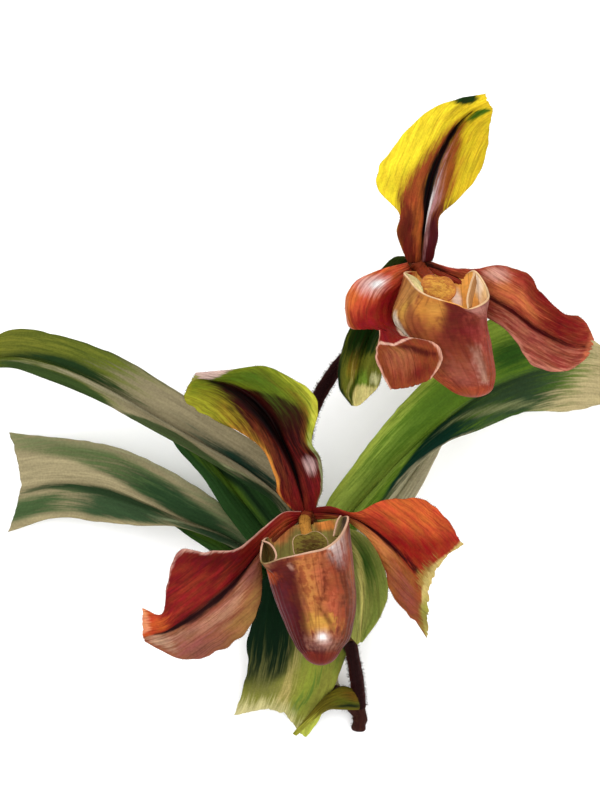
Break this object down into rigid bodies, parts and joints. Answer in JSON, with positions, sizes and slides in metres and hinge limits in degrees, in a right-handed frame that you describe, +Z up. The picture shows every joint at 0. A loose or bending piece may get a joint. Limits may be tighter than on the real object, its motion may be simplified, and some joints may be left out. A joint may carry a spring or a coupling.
{
  "type": "slipper orchid",
  "caption": "Cut slipper orchid lying on its back: strap leaves from one crown, a leafy bract, and blooms with ruffled petals, a hooded sepal and a slipper-shaped pouch.",
  "frame": {"origin": "on the flat underside of the crown, at the height of the surface that the plant lies on", "axes": "+Z up from the surface, the way the blooms face; +Y from the crown towards the rear bloom; +X to the right, across the leaf fan"},
  "size_m": [0.284, 0.2589, 0.0868],
  "materials": {
    "crown": "matt, fibrous, green-brown",
    "leaf": "satin, streaked lengthwise in light and dark green",
    "bract": "satin olive",
    "scape": "dark maroon, softly hairy",
    "ovary": "ribbed, softly hairy, brown-green",
    "dorsal_sepal": "satin, yellow-green margin round a maroon-brown centre",
    "synsepal": "satin pale green",
    "petal": "glossy red-brown with fine veins and a dark midrib",
    "pouch": "glossy orange-brown with veins",
    "column": "satin olive and gold"
  },
  "bodies": {
    "root": {"crown": "crown", "leaf_upper_left": "leaf", "leaf_lower_left": "leaf", "leaf_shaded_left": "leaf", "leaf_lowest_left": "leaf", "leaf_upper_right": "leaf", "leaf_lowest_right": "leaf", "leaf_front": "leaf", "scape_bract": "bract", "front_scape": "scape", "rear_scape": "scape", "front_ovary": "ovary", "front_bract": "bract", "front_dorsal_sepal": "dorsal_sepal", "front_synsepal": "synsepal", "front_left_petal": "petal", "front_right_petal": "petal", "front_pouch": "pouch", "front_column": "column", "rear_ovary": "ovary", "rear_bract": "bract", "rear_dorsal_sepal": "dorsal_sepal", "rear_synsepal": "synsepal", "rear_left_petal": "petal", "rear_right_petal": "petal", "rear_pouch": "pouch", "rear_column": "column"}
  },
  "joints": []
}
